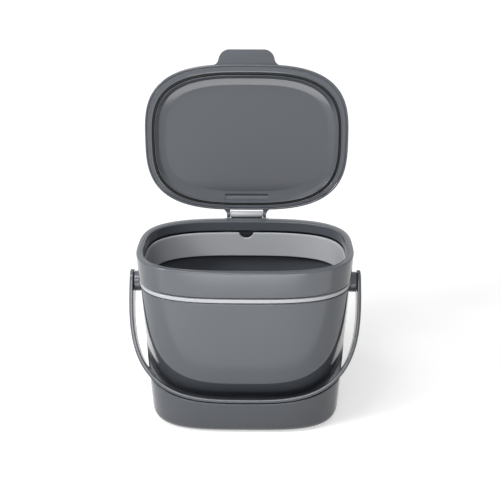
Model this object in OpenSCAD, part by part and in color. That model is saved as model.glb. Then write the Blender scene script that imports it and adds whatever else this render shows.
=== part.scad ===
// Countertop compost caddy: bucket, bag ring, collar, hinged lid and folding bail handle.
// Millimetres. +Z up, front towards -Y, origin at the centre of the base.
// The lid is drawn open and the bail folded down, which is the rest position of both.

/* [Outline] */
// Half width of the outline at the rim
rim_half_x = 94; // [86:0.5:104]
// Half depth of the outline at the rim
rim_half_y = 67.85; // [64:0.05:76]
// Squareness of the outline at the rim
rim_squareness = 3.05; // [2.8:0.05:3.4]
// Half width of the outline at the base
base_half_x = 84; // [80:0.5:90]
// Half depth of the outline at the base
base_half_y = 62; // [59:0.5:65]
// Squareness of the outline at the base
base_squareness = 3.5; // [3:0.1:4]
// Rounding of the bottom edge
base_round = 8; // [4:0.5:10]

/* [Bucket] */
// Height of the bucket's top edge
bucket_top_z = 126; // [116:0.5:136]
// Thickness of the bucket's wall
bucket_wall = 2.4; // [1.8:0.1:2.8]
// Thickness of the bucket's floor
bucket_floor = 3; // [2:0.5:5]
// Inner radius where wall and floor meet
floor_round = 6; // [3:0.5:8]

/* [Bail recess] */
// Gap between the folded bail and the ledge behind it
ledge_gap = 0.9; // [0.5:0.1:2]
// Gap between the bail and the foot below it
foot_gap = 0.9; // [0.8:0.1:1.5]
// How much wider than the bucket the belly's curve starts at the ledge
belly_back_spread = 3.85; // [3:0.05:5]
// Gap between the grip and the belly at the ledge
belly_back_gap = 2; // [1.5:0.1:5]
// How much narrower than the bucket the belly's curve starts at the crease
belly_crease_tuck = 0.65; // [0:0.05:2]
// Gap between the grip and the belly at the crease
belly_crease_gap = 14; // [11:0.5:18]
// Distance of the crease from the middle of the strip
crease_out = 22.3; // [20:0.1:25]

/* [Bail] */
// Distance of the pivots below the bucket's top edge
pivot_below_top = 8; // [7:0.5:12]
// Gap between the arms and the widest part of the rim
arm_gap = 4.8; // [3:0.1:8]
// How much less than the pivots' height the bail reaches
grip_clearance = 11; // [9:0.5:16]
// Squareness of the bail's curve
bail_squareness = 3.12; // [3:0.02:3.3]
// Width of the strip
strip_width = 21; // [18:0.5:21.5]
// Thickness of the strip
strip_thickness = 3; // [2.6:0.1:3.4]
// Forward tilt of the folded bail
bail_tilt = 29.8; // [28:0.1:31]

/* [Pivot] */
// Diameter of the pivot hubs
hub_diameter = 18; // [14:0.5:19]
// Diameter of the pivot pins
pivot_pin_diameter = 7.9; // [6:0.1:8.5]
// Diameter of the pivot pins' heads
pin_head_diameter = 12; // [11:0.5:13]
// Thickness of the pivot pins' heads
pin_head_thickness = 1.2; // [0.8:0.1:1.4]

/* [Bag ring] */
// Height of the visible band of the bag ring
ring_band = 4.7; // [4:0.1:5.5]
// Gap between the sleeve and the bucket's wall
sleeve_gap = 1; // [0.5:0.1:1.5]
// Thickness of the sleeve
sleeve_wall = 2; // [1.2:0.1:2.5]
// Length of the sleeve below the bucket's top edge
sleeve_below = 6; // [4:0.5:12]
// Radius of the finger notch at the back
notch_radius = 7; // [5:0.5:9]

/* [Collar] */
// Height of the collar
collar_height = 22.6; // [18:0.2:28]
// Thickness of the collar's outer wall
collar_wall = 2.2; // [1.6:0.1:2.4]
// Thickness of the collar's top
collar_top = 2; // [1.5:0.1:3]
// Width of the rim at the sides
land_side = 6.2; // [5:0.1:8]
// Width of the rim at the front
land_front = 5.7; // [5:0.1:8]
// Width of the rim at the back
land_back = 10.5; // [8:0.1:12]
// Thickness of the inner lip
lip_wall = 1.4; // [1.2:0.1:1.8]
// Depth of the inner lip below the rim
lip_depth = 9; // [7:0.5:12]

/* [Hinge] */
// Distance of the hinge axis behind the rim
hinge_behind_rim = 4.55; // [4.4:0.05:6]
// Height of the hinge axis above the rim
hinge_above_rim = 2; // [1.8:0.1:3]
// Angle that the lid stands open at
lid_open_angle = 93.8; // [88:0.1:97]
// Diameter of the barrel
barrel_diameter = 6.6; // [6:0.1:7]
// Length of the barrel
barrel_length = 30.5; // [24:0.5:36]
// Diameter of the hinge pin
hinge_pin_diameter = 3; // [2:0.1:3.5]
// Thickness of each lid ear at the pin
ear_thickness = 2.9; // [2.2:0.1:4]
// Extra width of each ear where it meets the lid
ear_flare = 2.8; // [1:0.1:4]

/* [Lid] */
// Height of the lid
lid_height = 16; // [15:0.5:20]
// Thickness of the lid's top
lid_wall = 2.2; // [1.6:0.1:2.4]
// Width of the flat flange round the underside
flange_width = 5.7; // [4.5:0.1:6.5]
// Width of the seal
seal_width = 1.8; // [1.4:0.1:2.4]
// Height of the seal
seal_height = 3; // [2.5:0.1:3]
// Depth of the dish in the underside
dish_depth = 5.5; // [4:0.1:6]
// Width of the rounded edge of the dish
dish_round = 8; // [4:0.5:12]
// Thickness of the liner
liner_wall = 1.6; // [1.2:0.1:1.8]
// Width of the shallow pocket near the hinge
pocket_width = 41; // [30:1:50]
// Height of the shallow pocket near the hinge
pocket_height = 4.5; // [3:0.1:6]
// How far the lifting tab stands out
tab_length = 13; // [10:0.5:18]
// Width of the lifting tab
tab_width = 51; // [40:1:64]
// Thickness of the lifting tab
tab_thickness = 3.5; // [2.5:0.1:4]
// Corner radius of the lifting tab
tab_round = 10; // [6:0.5:10]

/* [Hidden] */
$fn = 64;
outline_points = 64;
slice_height = 0.1;
cut = 1;
part_gap = 0.4;
seat_gap = 0.3;
axial_gap = 0.3;
flush_gap = 0.1;
running_gap = 0.05;
press_gap = 0.02;
rim_chamfer = 0.9;
belly_back_taper = 0.11;
belly_crease_taper = 0.12;
belly_back_squareness = 4;
belly_crease_squareness = 3.3;
belly_front_out = 60;
dome_squareness = 2.5;
dome_steps = 6;
dish_steps = 5;
ring_bottom_z = bucket_top_z + seat_gap;
ring_top_z = ring_bottom_z + ring_band;
collar_bottom_z = ring_top_z + part_gap;
rim_z = collar_bottom_z + collar_height;
pivot_z = bucket_top_z - pivot_below_top;
bail_half_x = rim_half_x + arm_gap + strip_thickness;
bail_reach = pivot_z - grip_clearance;
belly_up = pivot_z / 3;
ledge_back = strip_width / 2 + ledge_gap;
hub_reach = bail_half_x - strip_thickness - axial_gap;
hub_sunk = bucket_wall * 0.6;
eye_depth = pin_head_thickness + flush_gap + axial_gap;
mouth_half_x = rim_half_x - land_side;
mouth_half_y = rim_half_y - (land_back + land_front) / 2;
mouth_forward = (land_back - land_front) / 2;
mouth_squareness = rim_squareness + 0.15;
lip_bottom_z = rim_z - lip_depth;
sleeve_bottom_z = bucket_top_z - sleeve_below;
sleeve_top_z = lip_bottom_z - part_gap;
hinge_back = rim_half_y + hinge_behind_rim;
hinge_z = rim_z + hinge_above_rim;
barrel_radius = barrel_diameter / 2;
seat_gap_below_barrel = 0.7;
seat_top_z = hinge_z - barrel_radius - seat_gap_below_barrel;
seat_wall = 1.1;
seat_depth = 12;
saddle_height = barrel_radius + 2.4;
ear_inner_x = barrel_length / 2 + axial_gap;
ear_outer_x = ear_inner_x + ear_thickness;
seat_half_x = ear_outer_x + ear_flare + 0.25;
lid_bottom_z = rim_z + part_gap;
lid_top_z = lid_bottom_z + lid_height;
lid_side_height = lid_height * 0.35;
liner_gap = 0.1;
liner_edge = 1.2;
liner_inset = flange_width + seal_width + liner_gap;
tab_set_back = 2.6;
tab_flare = 6;

function env_x(z) = base_half_x + (rim_half_x - base_half_x) * z / rim_z;
function env_y(z) = base_half_y + (rim_half_y - base_half_y) * z / rim_z;
function env_n(z) = base_squareness + (rim_squareness - base_squareness) * z / rim_z;

function outline(a, b, n) = [
    for (i = [0 : outline_points - 1])
        let (t = 360 * (i + 0.5) / outline_points, c = cos(t), s = sin(t))
            [a * sign(c) * pow(abs(c), 2 / n), b * sign(s) * pow(abs(s), 2 / n)]
];

function half_outline(a, b, n, below) = concat(
    [[a, -below]],
    [
        for (i = [0 : outline_points / 2])
            let (t = 360 * i / outline_points, c = cos(t), s = max(0, sin(t)))
                [a * sign(c) * pow(abs(c), 2 / n), b * pow(s, 2 / n)]
    ],
    [[-a, -below]]
);

function belly_outline(half_x, reach, taper, n) = concat(
    [[half_x + taper * belly_up, -belly_up]],
    [
        for (i = [0 : outline_points / 2])
            let (
                t = 360 * i / outline_points,
                c = cos(t),
                r = reach * pow(max(0, sin(t)), 2 / n)
            )
                [(half_x - taper * r) * sign(c) * pow(abs(c), 2 / n), r]
    ],
    [[-half_x - taper * belly_up, -belly_up]]
);

// A solid through a list of outlines, each given as [half x, half y, squareness, height].
module loft(slices) {
    hull()
        for (s = slices)
            translate([0, 0, s[3]])
                linear_extrude(slice_height)
                    polygon(outline(s[0], s[1], s[2]));
}

// One slice of the tapered body, moved inwards by inset.
function env_slice(z, inset) = [env_x(z) - inset, env_y(z) - inset, env_n(z), z];

// One slice of the lid while it is closed.
function lid_slice(z, inset) = [rim_half_x - inset, rim_half_y - inset, rim_squareness, z];

// Puts things drawn in the bail's own plane in place: x across, y down the arms, z out of the plane.
module bail_plane() {
    translate([0, 0, pivot_z])
        rotate([-(90 + bail_tilt), 0, 0])
            mirror([0, 0, 1])
                children();
}

// The belly's curve at a distance out from the ledge, which is 0 at the ledge and 1 at the crease.
function belly_half_x(f) = env_x(pivot_z) + belly_back_spread * (1 - f) - belly_crease_tuck * f;
function belly_reach(f) =
    bail_reach - strip_thickness - belly_back_gap * (1 - f) - belly_crease_gap * f;

module belly_slice(out, inset, taper, squareness) {
    f = (out + ledge_back) / (crease_out + ledge_back);
    translate([0, 0, out])
        linear_extrude(slice_height)
            polygon(belly_outline(belly_half_x(f) - inset, belly_reach(f) - inset, taper, squareness));
}

// The belly that stands forward between the arms of the folded bail, made smaller by inset.
module belly(inset, back) {
    bail_plane()
        hull() {
            belly_slice(-back, inset, belly_back_taper, belly_back_squareness);
            belly_slice(crease_out, inset, belly_crease_taper, belly_crease_squareness);
            belly_slice(belly_front_out, inset, belly_crease_taper, belly_crease_squareness);
        }
}

// The space that the folded bail lies in, grown by wall so that the inside follows it.
module recess(wall) {
    difference() {
        bail_plane()
            translate([0, 0, -ledge_back - wall])
                linear_extrude(belly_front_out + ledge_back)
                    polygon(half_outline(bail_half_x + foot_gap + wall, bail_reach + foot_gap + wall,
                        bail_squareness, 0));
        belly(wall, ledge_back + wall + cut);
    }
}

module bucket_body() {
    loft([
        env_slice(bucket_top_z - slice_height, 0),
        env_slice(base_round, 0),
        env_slice(base_round * 0.62, base_round * 0.075),
        env_slice(base_round * 0.29, base_round * 0.29),
        env_slice(base_round * 0.08, base_round * 0.61),
        env_slice(0, base_round)
    ]);
}

module bucket_inside() {
    loft([
        env_slice(bucket_top_z + cut, bucket_wall),
        env_slice(bucket_floor + floor_round, bucket_wall),
        env_slice(bucket_floor + floor_round * 0.29, bucket_wall + floor_round * 0.29),
        env_slice(bucket_floor, bucket_wall + floor_round)
    ]);
}

module bucket() {
    color([0.24, 0.25, 0.27])
        difference() {
            union() {
                difference() {
                    bucket_body();
                    recess(0);
                }
                for (side = [-1, 1])
                    pivot_hub(side);
            }
            difference() {
                bucket_inside();
                recess(bucket_wall);
            }
            for (side = [-1, 1])
                hub_bore(side);
        }
}

module pivot_hub(side) {
    wall_x = env_x(bucket_top_z) + 0.4;
    root_x = env_x(pivot_z) - hub_sunk;
    translate([side * wall_x, 0, pivot_z])
        rotate([0, side * 90, 0])
            cylinder(h = hub_reach - wall_x, d = hub_diameter);
    difference() {
        translate([side * root_x, 0, pivot_z])
            rotate([0, side * 90, 0])
                cylinder(h = wall_x - root_x + slice_height, d = hub_diameter);
        translate([-rim_half_x - hub_diameter, -hub_diameter, bucket_top_z])
            cube([2 * (rim_half_x + hub_diameter), 2 * hub_diameter, hub_diameter]);
    }
}

module hub_bore(side) {
    root_x = env_x(pivot_z) - bucket_wall / 2;
    translate([side * root_x, 0, pivot_z])
        rotate([0, side * 90, 0])
            cylinder(h = hub_reach - root_x + cut, r = pivot_pin_diameter / 2 + press_gap);
}

// The half round above each pivot.
module bail_end(side) {
    bail_plane()
        difference() {
            translate([side * (bail_half_x - strip_thickness), 0, 0])
                rotate([0, side * 90, 0])
                    cylinder(h = strip_thickness, d = strip_width);
            translate([-bail_half_x - cut, 0, -strip_width])
                cube([2 * (bail_half_x + cut), strip_width, 2 * strip_width]);
        }
}

module bail() {
    color([0.2, 0.21, 0.23])
        difference() {
            union() {
                bail_plane()
                    difference() {
                        translate([0, 0, -strip_width / 2])
                            linear_extrude(strip_width)
                                polygon(half_outline(bail_half_x, bail_reach, bail_squareness, 0));
                        translate([0, 0, -strip_width / 2 - cut])
                            linear_extrude(strip_width + 2 * cut)
                                polygon(half_outline(bail_half_x - strip_thickness,
                                    bail_reach - strip_thickness, bail_squareness, cut));
                    }
                for (side = [-1, 1])
                    bail_end(side);
            }
            for (side = [-1, 1]) {
                translate([side * (bail_half_x - strip_thickness - cut), 0, pivot_z])
                    rotate([0, side * 90, 0])
                        cylinder(h = strip_thickness + 2 * cut, r = pivot_pin_diameter / 2 + running_gap);
                translate([side * (bail_half_x - eye_depth), 0, pivot_z])
                    rotate([0, side * 90, 0])
                        cylinder(h = eye_depth + cut, r = pin_head_diameter / 2 + axial_gap);
            }
        }
}

module pivot_pins() {
    inner_x = env_x(pivot_z) - bucket_wall / 2 + flush_gap;
    head_x = bail_half_x - flush_gap - pin_head_thickness;
    color([0.16, 0.17, 0.18])
        for (side = [-1, 1]) {
            translate([side * inner_x, 0, pivot_z])
                rotate([0, side * 90, 0])
                    cylinder(h = head_x - inner_x + slice_height, d = pivot_pin_diameter);
            translate([side * head_x, 0, pivot_z])
                rotate([0, side * 90, 0])
                    cylinder(h = pin_head_thickness, d = pin_head_diameter);
        }
}

// The sleeve's outline: it clears the bucket's wall and sits as far forward as the mouth.
module sleeve_outline(inset) {
    half_x = env_x(sleeve_bottom_z) - bucket_wall - sleeve_gap - inset;
    half_y = env_y(sleeve_bottom_z) - bucket_wall - sleeve_gap - mouth_forward - inset;
    translate([0, -mouth_forward])
        polygon(outline(half_x, half_y, env_n(sleeve_bottom_z)));
}

module bag_ring() {
    skin = sleeve_wall;
    color([0.78, 0.79, 0.8])
        difference() {
            union() {
                loft([
                    env_slice(ring_bottom_z, flush_gap),
                    env_slice(ring_top_z - slice_height, flush_gap)
                ]);
                translate([0, 0, sleeve_bottom_z])
                    linear_extrude(sleeve_top_z - sleeve_bottom_z)
                        sleeve_outline(0);
            }
            translate([0, 0, sleeve_bottom_z - cut])
                linear_extrude(sleeve_top_z - sleeve_bottom_z + 2 * cut)
                    sleeve_outline(sleeve_wall);
            difference() {
                loft([
                    env_slice(ring_bottom_z - cut, bucket_wall),
                    env_slice(ring_top_z - skin, bucket_wall)
                ]);
                translate([0, 0, sleeve_bottom_z - cut])
                    linear_extrude(sleeve_top_z - sleeve_bottom_z)
                        sleeve_outline(0);
            }
            translate([0, 0, sleeve_top_z])
                rotate([-90, 0, 0])
                    cylinder(h = rim_half_y, r = notch_radius);
        }
}

module mouth_outline(grow) {
    translate([0, -mouth_forward])
        polygon(outline(mouth_half_x + grow, mouth_half_y + grow, mouth_squareness));
}

module collar() {
    color([0.27, 0.28, 0.3])
        difference() {
            union() {
                loft([
                    env_slice(collar_bottom_z, 0),
                    env_slice(rim_z - rim_chamfer, 0),
                    env_slice(rim_z - rim_chamfer * 0.3, rim_chamfer * 0.3),
                    env_slice(rim_z - slice_height, rim_chamfer)
                ]);
                hinge_seat();
            }
            translate([0, 0, collar_bottom_z - cut])
                linear_extrude(rim_z - collar_bottom_z + 2 * cut)
                    mouth_outline(0);
            difference() {
                loft([
                    env_slice(collar_bottom_z - cut, collar_wall),
                    env_slice(rim_z - collar_top, collar_wall)
                ]);
                translate([0, 0, lip_bottom_z])
                    linear_extrude(lip_depth)
                        mouth_outline(lip_wall);
            }
        }
}

// The seat behind the rim and the saddle that holds the barrel from behind.
module hinge_seat() {
    back_y = hinge_back + barrel_radius + seat_wall;
    wall_y = rim_half_y - collar_wall - cut;
    foot_z = seat_top_z - seat_depth;
    flare = 3;
    difference() {
        union() {
            intersection() {
                rotate([90, 0, 90])
                    translate([0, 0, -2 * seat_half_x])
                        linear_extrude(4 * seat_half_x)
                            polygon([
                                [wall_y, foot_z],
                                [rim_half_y, foot_z],
                                [back_y, seat_top_z - seat_depth * 0.37],
                                [back_y, seat_top_z],
                                [wall_y, seat_top_z]
                            ]);
                translate([0, 0, foot_z - cut])
                    linear_extrude(2 * seat_depth)
                        polygon([
                            [-seat_half_x - flare, wall_y],
                            [seat_half_x + flare, wall_y],
                            [seat_half_x + flare, rim_half_y],
                            [seat_half_x, rim_half_y + flare / 2],
                            [seat_half_x - flare / 3, back_y],
                            [-seat_half_x + flare / 3, back_y],
                            [-seat_half_x, rim_half_y + flare / 2],
                            [-seat_half_x - flare, rim_half_y]
                        ]);
            }
            translate([-barrel_length / 2 + axial_gap, hinge_back + cut / 2, seat_top_z - cut])
                cube([
                    barrel_length - 2 * axial_gap,
                    back_y - hinge_back - cut / 2,
                    saddle_height + cut
                ]);
        }
        translate([-barrel_length, hinge_back, hinge_z])
            rotate([0, 90, 0])
                cylinder(h = 2 * barrel_length, r = barrel_radius + running_gap);
    }
}

module hinge_barrel() {
    color([0.8, 0.81, 0.82])
        translate([-barrel_length / 2, hinge_back, hinge_z])
            rotate([0, 90, 0])
                difference() {
                    cylinder(h = barrel_length, r = barrel_radius);
                    translate([0, 0, -cut])
                        cylinder(h = barrel_length + 2 * cut, r = hinge_pin_diameter / 2 + press_gap);
                }
}

module hinge_pin() {
    half = ear_outer_x - axial_gap;
    color([0.66, 0.67, 0.69])
        translate([-half, hinge_back, hinge_z])
            rotate([0, 90, 0])
                cylinder(h = 2 * half, d = hinge_pin_diameter);
}

// Turns what is drawn on the closed lid to where the lid stands open.
module lid_place() {
    translate([0, hinge_back, hinge_z])
        rotate([-lid_open_angle, 0, 0])
            translate([0, -hinge_back, -hinge_z])
                children();
}

// The lid's dome, from step 0 at the side wall to the last step in the middle.
function dome_run() = rim_half_y * 0.83;
function dome_inset(i) =
    dome_run() * (1 - pow(max(0, cos(90 * i / dome_steps)), 2 / dome_squareness));
function dome_z(i) =
    lid_bottom_z + lid_side_height
    + (lid_height - lid_side_height) * pow(sin(90 * i / dome_steps), 2 / dome_squareness);

// The outside of the lid while it is closed.
module lid_outside() {
    edge = 0.8;
    loft(concat(
        [lid_slice(lid_bottom_z, edge * 0.75), lid_slice(lid_bottom_z + edge, 0)],
        [for (i = [0 : dome_steps]) lid_slice(dome_z(i) - slice_height, dome_inset(i))]
    ));
}

// The hollow of the lid above the liner.
module lid_inside() {
    side = flange_width + seal_width;
    loft(concat(
        [lid_slice(lid_bottom_z + seal_height, side)],
        [
            for (i = [1 : dome_steps])
                if (dome_inset(i) + lid_wall * 0.8 > side + liner_gap)
                    lid_slice(dome_z(i) - lid_wall, dome_inset(i) + lid_wall * 0.8)
        ]
    ));
}

module lid_shell() {
    color([0.24, 0.25, 0.27])
        lid_place()
            difference() {
                union() {
                    lid_outside();
                    lid_tab();
                    for (side = [-1, 1])
                        lid_ear(side);
                }
                translate([0, 0, lid_bottom_z - cut])
                    linear_extrude(seal_height + liner_gap + cut)
                        polygon(outline(rim_half_x - flange_width, rim_half_y - flange_width,
                            rim_squareness));
                lid_inside();
                translate([-ear_outer_x - cut, hinge_back, hinge_z])
                    rotate([0, 90, 0])
                        cylinder(h = 2 * ear_outer_x + 2 * cut,
                            r = hinge_pin_diameter / 2 + running_gap);
            }
}

module lid_tab() {
    low_z = lid_bottom_z + tab_set_back;
    front_y = -rim_half_y - tab_length;
    root_y = -rim_half_y + flange_width / 2;
    half = tab_width / 2;
    flare = tab_flare;
    translate([0, 0, low_z]) {
        linear_extrude(tab_thickness)
            difference() {
                union() {
                    translate([-half + tab_round, front_y])
                        square([tab_width - 2 * tab_round, root_y - front_y]);
                    translate([-half, front_y + tab_round])
                        square([tab_width, root_y - front_y - tab_round]);
                    for (side = [-1, 1])
                        translate([side * (half - tab_round), front_y + tab_round])
                            circle(r = tab_round);
                    translate([-half - flare, -rim_half_y - flare + 1])
                        square([tab_width + 2 * flare, flare + 2]);
                }
                for (side = [-1, 1])
                    translate([side * (half + flare), -rim_half_y - flare + 1])
                        circle(r = flare);
            }
    }
}

module lid_ear(side) {
    root_y = rim_half_y - flange_width + 1;
    mirror([side < 0 ? 1 : 0, 0, 0]) {
        translate([0, 0, lid_bottom_z])
            linear_extrude(hinge_z + barrel_radius - lid_bottom_z)
                polygon([
                    [ear_inner_x, root_y],
                    [ear_outer_x + ear_flare, root_y],
                    [ear_outer_x + ear_flare, rim_half_y - 0.5],
                    [ear_outer_x, hinge_back - 1.2],
                    [ear_outer_x, hinge_back],
                    [ear_inner_x, hinge_back]
                ]);
        translate([ear_inner_x, hinge_back, hinge_z])
            rotate([0, 90, 0])
                cylinder(h = ear_thickness, r = barrel_radius);
    }
}

module lid_seal() {
    outer = flange_width + running_gap;
    inner = flange_width + seal_width;
    color([0.04, 0.04, 0.045])
        lid_place()
            translate([0, 0, lid_bottom_z])
                linear_extrude(seal_height)
                    difference() {
                        polygon(outline(rim_half_x - outer, rim_half_y - outer, rim_squareness));
                        polygon(outline(rim_half_x - inner, rim_half_y - inner, rim_squareness));
                    }
}

// The dish in the liner's underside: a rounded wall that runs into a flat panel.
module dish() {
    edge = liner_inset + liner_edge;
    loft(concat(
        [lid_slice(lid_bottom_z - cut, edge)],
        [
            for (i = [0 : dish_steps])
                lid_slice(
                    lid_bottom_z + cut + (dish_depth - cut) * sin(90 * i / dish_steps),
                    edge + dish_round * (1 - cos(90 * i / dish_steps)))
        ]
    ));
}

module lid_liner() {
    pocket_back = rim_half_y - liner_inset - liner_edge - dish_round / 6;
    color([0.26, 0.27, 0.29])
        lid_place()
            difference() {
                loft([
                    lid_slice(lid_bottom_z, liner_inset),
                    lid_slice(lid_bottom_z + dish_depth - cut, liner_inset),
                    lid_slice(lid_bottom_z + dish_depth + liner_wall, liner_inset + dish_round * 0.6)
                ]);
                dish();
                translate([-pocket_width / 2, pocket_back - pocket_height, lid_bottom_z - cut])
                    cube([pocket_width, pocket_height, dish_depth + cut + liner_wall / 3]);
            }
}

bucket();
pivot_pins();
bail();
bag_ring();
collar();
hinge_barrel();
hinge_pin();
lid_shell();
lid_seal();
lid_liner();
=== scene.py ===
"""Looks of the compost caddy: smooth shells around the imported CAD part, plain studio floor and light."""

import math

import bmesh
import bpy
import numpy as np
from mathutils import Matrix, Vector


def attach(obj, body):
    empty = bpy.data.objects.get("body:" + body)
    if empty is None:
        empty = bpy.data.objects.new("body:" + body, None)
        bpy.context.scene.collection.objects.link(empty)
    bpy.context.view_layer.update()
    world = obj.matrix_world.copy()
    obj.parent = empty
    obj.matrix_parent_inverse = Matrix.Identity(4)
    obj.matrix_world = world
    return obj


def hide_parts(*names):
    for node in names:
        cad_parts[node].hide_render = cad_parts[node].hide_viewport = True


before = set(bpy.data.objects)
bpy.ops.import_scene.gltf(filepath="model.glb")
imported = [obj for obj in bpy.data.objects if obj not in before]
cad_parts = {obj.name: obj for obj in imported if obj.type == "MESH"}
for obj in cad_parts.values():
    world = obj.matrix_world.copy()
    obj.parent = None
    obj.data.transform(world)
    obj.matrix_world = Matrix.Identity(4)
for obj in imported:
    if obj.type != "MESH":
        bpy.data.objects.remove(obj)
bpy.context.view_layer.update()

# Metres in a millimetre. Sizes are in millimetres unless a comment says otherwise.
MM = 0.001

# Sizes that are the same as in the part's source. Of an outline, X and Y are the half sizes and N is the
# squareness.
RIM_X, RIM_Y, RIM_N = 94.0, 67.85, 3.05
BASE_X, BASE_Y, BASE_N = 84.0, 62.0, 3.5
BASE_ROUND = 8.0
SEAT_GAP, PART_GAP, AXIAL_GAP = 0.3, 0.4, 0.3
WALL, FLOOR, FLOOR_ROUND = 2.4, 3.0, 6.0
BUCKET_TOP = 126.0
RING_BAND, COLLAR_HEIGHT = 4.7, 22.6
RING_BOTTOM = BUCKET_TOP + SEAT_GAP
RING_TOP = RING_BOTTOM + RING_BAND
COLLAR_BOTTOM = RING_TOP + PART_GAP
RIM_Z = COLLAR_BOTTOM + COLLAR_HEIGHT
STRIP_W, STRIP_T = 21.0, 3.0
PIVOT_BELOW_TOP, ARM_GAP, GRIP_CLEARANCE, LEDGE_GAP = 8.0, 4.8, 11.0, 0.9
PIVOT_Z = BUCKET_TOP - PIVOT_BELOW_TOP
BAIL_X, BAIL_REACH, BAIL_N = RIM_X + ARM_GAP + STRIP_T, PIVOT_Z - GRIP_CLEARANCE, 3.12
TILT = math.radians(29.8)
LEDGE_BACK = STRIP_W / 2 + LEDGE_GAP
CREASE_OUT = 22.3
HUB_R = 9.0
HUB_REACH = BAIL_X - STRIP_T - AXIAL_GAP
SLEEVE_WALL, SLEEVE_BELOW = 2.0, 6.0
SLEEVE_BOTTOM = BUCKET_TOP - SLEEVE_BELOW
COLLAR_WALL, LIP_WALL, LIP_DEPTH = 2.2, 1.4, 9.0
MOUTH_X, MOUTH_Y, MOUTH_N, MOUTH_FORWARD = 87.8, 59.75, 3.2, 2.4
LIP_BOTTOM = RIM_Z - LIP_DEPTH
NOTCH_R, NOTCH_Z = 7.0, LIP_BOTTOM - PART_GAP
HINGE_BEHIND, HINGE_ABOVE = 4.55, 2.0
HINGE_Y, HINGE_Z = RIM_Y + HINGE_BEHIND, RIM_Z + HINGE_ABOVE
LID_ANGLE = math.radians(93.8)
BARREL_R, BARREL_L = 3.3, 30.5
EAR_IN = BARREL_L / 2 + AXIAL_GAP
EAR_T, EAR_FLARE = 2.9, 2.8
LID_BOTTOM, LID_HEIGHT = RIM_Z + PART_GAP, 16.0
# The dome: its side wall's share of the lid's height, its run as a share of RIM_Y, and its squareness.
DOME_SIDE, DOME_RUN, DOME_N = 0.35, 0.83, 2.5
SEAL_W, SEAL_H, DISH = 1.8, 3.0, 5.5
TAB_LENGTH, TAB_WIDTH, TAB_THICK, TAB_ROUND = 13.0, 51.0, 3.5, 10.0
TAB_FLARE, TAB_SET_BACK = 6.0, 2.6

# The belly and the sleeve, as the source works them out, rounded to 0.01 mm. A belly row holds the half
# width, the reach down from the pivots, the taper and the squareness.
BELLY_BACK = (95.51, 102.0, 0.11, 4.0)
BELLY_CREASE = (91.01, 90.0, 0.12, 3.3)
SLEEVE_X, SLEEVE_Y, SLEEVE_N = 88.39, 60.76, 3.149

# Sizes that follow the photo more closely than the solids do. The source has 0.9 for the foot's gap, the
# sleeve's top at NOTCH_Z, and the seal groove 5.7 inside the rim all round, not moved back.
FOOT_GAP = 0.6
SLEEVE_TOP = 143.1
GROOVE_SIDE, GROOVE_ENDS, GROOVE_BACK = 6.6, 5.9, 1.3

# How far the dressed skins stay inside the solids where these are faceted.
SKIN_INSET = 0.12

# Bucket: rounding of each edge and crease, and where the pivot hubs start.
LEDGE_FILLET, BELLY_FILLET, CREASE_ROUND, INNER_ROUND, EDGE_ROUND = 2.0, 2.4, 1.2, 3.0, 0.5
HUB_ROUND, HUB_FILLET = 0.9, 1.6
HUB_START = 86.0
# From just below the bucket's top upwards, the hubs stay outside HUB_CLEAR, beside the ring.
HUB_TOP_DROP, HUB_CLEAR = 0.1, 92.6
# The belly's distance is taken a little short, because its outline tapers.
BELLY_SHARE = 0.95
BELLY_N_LOW, BELLY_N_HIGH = 2.4, 4.2
BUCKET_LOW, BUCKET_HIGH = (-100.5, -70.5, -1.5), (100.5, 70.5, 128.5)
BUCKET_STEP = 1.0

# How finely the outlines, turned pieces and skins are drawn.
OUTLINE_SAMPLES, RING_POINTS, TURN_POINTS = 8192, 256, 96
SLOPE_STEP = 0.02
SETTLE_ROUNDS, LEAST_SLOPE = 3, 0.05
NEARLY_ZERO, SMALLER_STILL = 1e-9, 1e-12
SOFT_SEGMENTS, SOFT_FROM_ANGLE = 3, 50

# Collar: (rise, inset) at its foot outside and inside, (share of the way in, drop) across the rim, whose
# fine line is the 0.3 mm drop, and (rise, growth of the mouth) at the lip's foot.
COLLAR_FOOT = ((0.0, 0.5), (0.12, 0.15), (0.45, SKIN_INSET / 2))
COLLAR_FOOT_INSIDE = ((0.2, COLLAR_WALL), (0.0, COLLAR_WALL - 0.3))
COLLAR_EDGE, MOUTH_EDGE, COLLAR_UNDER = 1.5, 0.8, 2.2
COLLAR_FROM, COLLAR_TO, COLLAR_STEPS, COLLAR_EDGE_STEPS = 2.0, 1.0, 8, 8
LIP_FROM, LIP_TO, LIP_STEPS = 2.0, 1.0, 4
MOUTH_EDGE_ANGLE, MOUTH_EDGE_STEPS = 75, 5
RIM_LINE = ((0.25, 0.0), (0.5, 0.03), (0.66, 0.05), (0.74, 0.12), (0.79, 0.3), (0.83, 0.3), (0.88, 0.08),
            (0.93, 0.0), (1.0, 0.02))
LIP_FOOT = ((0.4, 0.0), (0.1, 0.12), (0.0, 0.4), (0.0, LIP_WALL - 0.2), (0.3, LIP_WALL))

# Bag ring: (rise or drop, inset) at the band's foot and top and at the sleeve's rim and foot.
BAND_FOOT = ((0.2, 1.3), (0.28, 0.65), (0.55, 0.4))
BAND_INSET, BAND_FROM, BAND_TO, BAND_STEPS = 0.35, 1.0, 1.7, 4
BAND_TOP_DROP = 1.05
BAND_TOP = ((1.4, 0.4), (1.15, 0.65), (BAND_TOP_DROP, 1.3), (BAND_TOP_DROP, 2.2))
BAND_UNDER_DROP = 2.0
SLEEVE_RIM = ((0.5, 0.0), (0.12, 0.12), (0.0, 0.5), (0.0, 1.4), (0.15, 1.8), (0.6, SLEEVE_WALL))
SLEEVE_FOOT = ((0.5, SLEEVE_WALL), (0.0, 1.5), (0.0, 0.4), (0.4, 0.0))
SLEEVE_FROM, SLEEVE_TO, SLEEVE_STEPS = 2.0, 1.5, 6
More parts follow.
